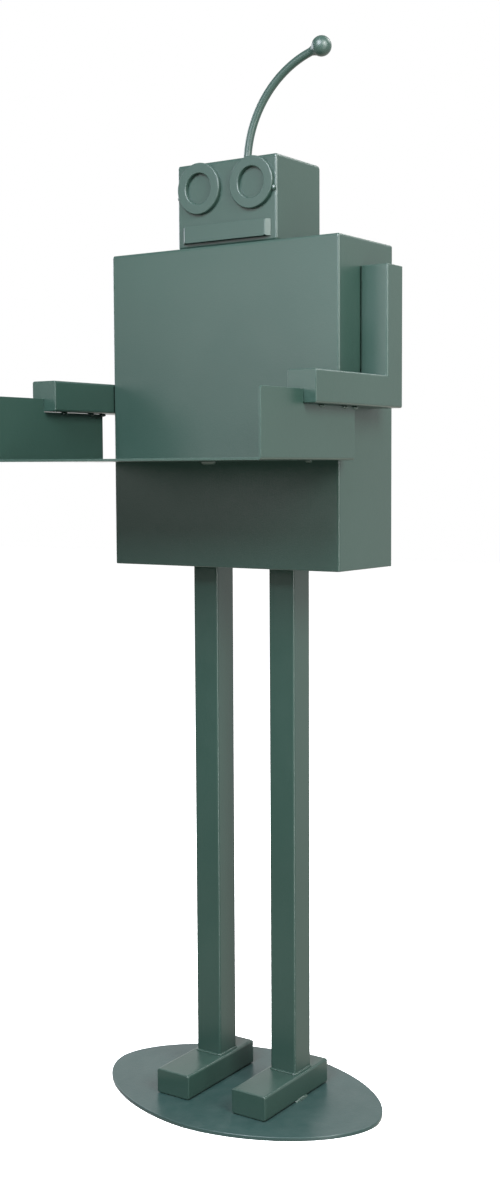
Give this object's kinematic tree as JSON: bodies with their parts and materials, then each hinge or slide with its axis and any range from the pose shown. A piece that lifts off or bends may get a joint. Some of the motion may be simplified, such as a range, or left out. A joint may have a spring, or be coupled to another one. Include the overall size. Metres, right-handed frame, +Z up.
{
  "type": "robot figure book stand",
  "caption": "Floor-standing steel robot figure with a box torso and head, tube legs on an oval base, and a book tray held out on its forearms.",
  "frame": {"origin": "centre of the oval base plate's underside, on the floor", "axes": "+Z up, the figure faces -Y, and its own left side is at +X"},
  "size_m": [0.3306, 0.2948, 1.0572],
  "materials": {
    "base_coat": "satin fine-texture powder coat, dark grey-green, on 4 mm steel plate",
    "tube_coat": "satin fine-texture powder coat, dark grey-green, on square and flat steel tube",
    "sheet_coat": "satin fine-texture powder coat, dark grey-green, on 2 mm steel sheet",
    "tray_coat": "satin fine-texture powder coat, dark grey-green, on 2 mm steel sheet, lightly rubbed by books",
    "trim_coat": "satin powder coat, dark grey-green, on the eyes, mouth and antenna",
    "weld_coat": "powder coat over weld beads"
  },
  "bodies": {
    "root": {"antenna_ball": "trim_coat", "antenna_ball_weld": "weld_coat", "antenna_rod": "trim_coat", "antenna_root_weld": "weld_coat", "base_plate": "base_coat", "head_back_panel": "sheet_coat", "head_shell": "sheet_coat", "head_top_plate": "sheet_coat", "left_eye_ring": "trim_coat", "left_eye_weld": "weld_coat", "left_foot": "tube_coat", "left_foot_front_cap": "tube_coat", "left_foot_outer_weld": "weld_coat", "left_foot_rear_cap": "tube_coat", "left_foot_rear_weld": "weld_coat", "left_forearm": "tube_coat", "left_forearm_front_cap": "tube_coat", "left_forearm_rear_cap": "tube_coat", "left_leg": "tube_coat", "left_leg_weld": "weld_coat", "left_tray_tack_1": "weld_coat", "left_tray_tack_2": "weld_coat", "left_tray_tack_3": "weld_coat", "left_upper_arm": "tube_coat", "left_upper_arm_cap": "tube_coat", "mouth_plate": "trim_coat", "right_eye_ring": "trim_coat", "right_eye_weld": "weld_coat", "right_foot": "tube_coat", "right_foot_front_cap": "tube_coat", "right_foot_outer_weld": "weld_coat", "right_foot_rear_cap": "tube_coat", "right_foot_rear_weld": "weld_coat", "right_forearm": "tube_coat", "right_forearm_front_cap": "tube_coat", "right_forearm_rear_cap": "tube_coat", "right_leg": "tube_coat", "right_leg_weld": "weld_coat", "right_tray_tack_1": "weld_coat", "right_tray_tack_2": "weld_coat", "right_tray_tack_3": "weld_coat", "right_upper_arm": "tube_coat", "right_upper_arm_cap": "tube_coat", "torso_back_panel": "sheet_coat", "torso_bottom_plate": "sheet_coat", "torso_shell": "sheet_coat", "torso_top_plate": "sheet_coat", "tray": "tray_coat", "tray_back_weld_1": "weld_coat", "tray_back_weld_2": "weld_coat"}
  },
  "joints": []
}
